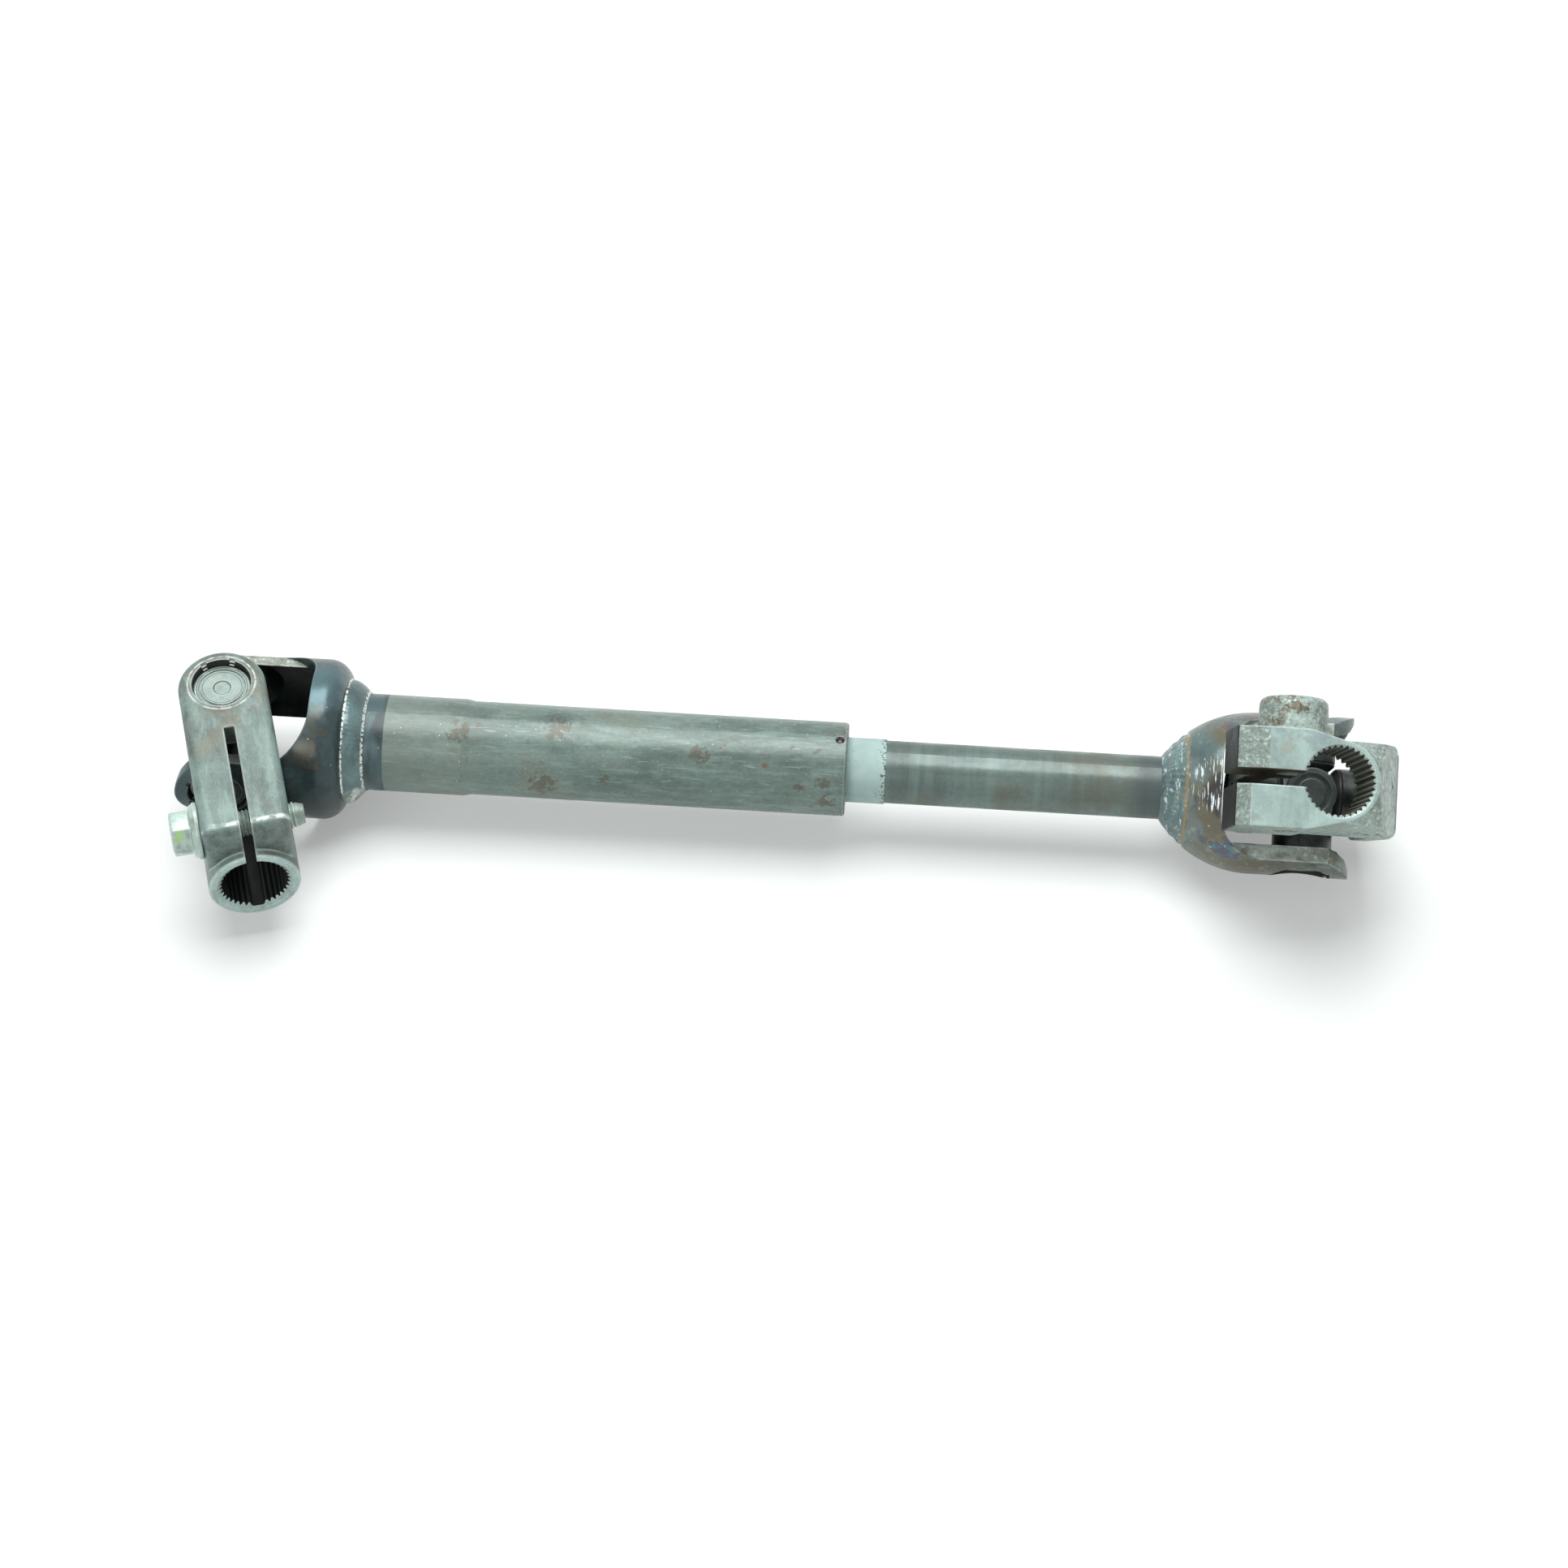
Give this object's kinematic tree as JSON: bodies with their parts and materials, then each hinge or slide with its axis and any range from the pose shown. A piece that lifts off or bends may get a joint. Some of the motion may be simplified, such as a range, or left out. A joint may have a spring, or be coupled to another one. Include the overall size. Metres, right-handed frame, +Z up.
{
  "type": "steering intermediate shaft",
  "caption": "Telescoping steel shaft with a universal joint at each end, each joint ending in a slit clamp yoke with a serrated bore.",
  "frame": {"origin": "centre of the bounding box in X and Y, on the surface that the part lies on", "axes": "+X along the shaft from the left (tube end) joint to the right joint, +Z up"},
  "size_m": [0.4498, 0.1044, 0.0943],
  "materials": {
    "forged_steel": "rough forged, bare, heat tinted near the welds",
    "drawn_tube": "satin, bare",
    "shaft_steel": "satin, bare",
    "weld_metal": "rippled weld",
    "cross_steel": "dark, forged",
    "bearing_cup": "drawn, satin",
    "roller_steel": "ground",
    "black_rubber": "matte",
    "white_nylon": "matte, sprayed",
    "plated_bolt": "zinc plated"
  },
  "bodies": {
    "outer_shaft": {"outer_tube": "drawn_tube", "left_tube_yoke": "forged_steel", "left_weld_bead": "weld_metal", "left_cup_tube_a": "bearing_cup", "left_needles_tube_a": "roller_steel", "left_cup_tube_b": "bearing_cup", "left_needles_tube_b": "roller_steel"},
    "left_cross": {"left_cross": "cross_steel", "left_seal_clamp_a": "black_rubber", "left_seal_clamp_b": "black_rubber", "left_seal_tube_a": "black_rubber", "left_seal_tube_b": "black_rubber"},
    "left_clamp_yoke": {"left_clamp_yoke": "forged_steel", "left_clamp_bolt": "plated_bolt", "left_cup_clamp_a": "bearing_cup", "left_needles_clamp_a": "roller_steel", "left_cup_clamp_b": "bearing_cup", "left_needles_clamp_b": "roller_steel"},
    "inner_shaft": {"inner_shaft": "shaft_steel", "nylon_coating": "white_nylon", "right_weld_bead": "weld_metal", "right_tube_yoke": "forged_steel", "right_cup_tube_a": "bearing_cup", "right_needles_tube_a": "roller_steel", "right_cup_tube_b": "bearing_cup", "right_needles_tube_b": "roller_steel"},
    "right_cross": {"right_cross": "cross_steel", "right_seal_clamp_a": "black_rubber", "right_seal_clamp_b": "black_rubber", "right_seal_tube_a": "black_rubber", "right_seal_tube_b": "black_rubber"},
    "right_clamp_yoke": {"right_clamp_yoke": "forged_steel", "right_cup_clamp_a": "bearing_cup", "right_needles_clamp_a": "roller_steel", "right_cup_clamp_b": "bearing_cup", "right_needles_clamp_b": "roller_steel"}
  },
  "joints": [
    {"name": "left_tilt", "type": "hinge", "parent": "outer_shaft", "child": "left_cross", "pos_m": [-0.20863, 0.02216, 0.03], "axis": [0, 1, 0], "range_deg": [-3, 3]},
    {"name": "left_fold", "type": "hinge", "parent": "left_cross", "child": "left_clamp_yoke", "pos_m": [-0.20863, 0.02216, 0.03], "axis": [0, 0, 1], "range_deg": [-206, 1]},
    {"name": "telescope", "type": "slide", "parent": "outer_shaft", "child": "inner_shaft", "axis": [1, 0, 0], "range_m": [-0.075, 0.023]},
    {"name": "right_fold", "type": "hinge", "parent": "inner_shaft", "child": "right_cross", "pos_m": [0.19377, 0.02216, 0.03], "axis": [0, -0.8462, -0.5329], "range_deg": [-178, 1]},
    {"name": "right_tilt", "type": "hinge", "parent": "right_cross", "child": "right_clamp_yoke", "pos_m": [0.19377, 0.02216, 0.03], "axis": [0.9936, 0.0603, -0.0958], "range_deg": [-3.5, 3.5]}
  ]
}
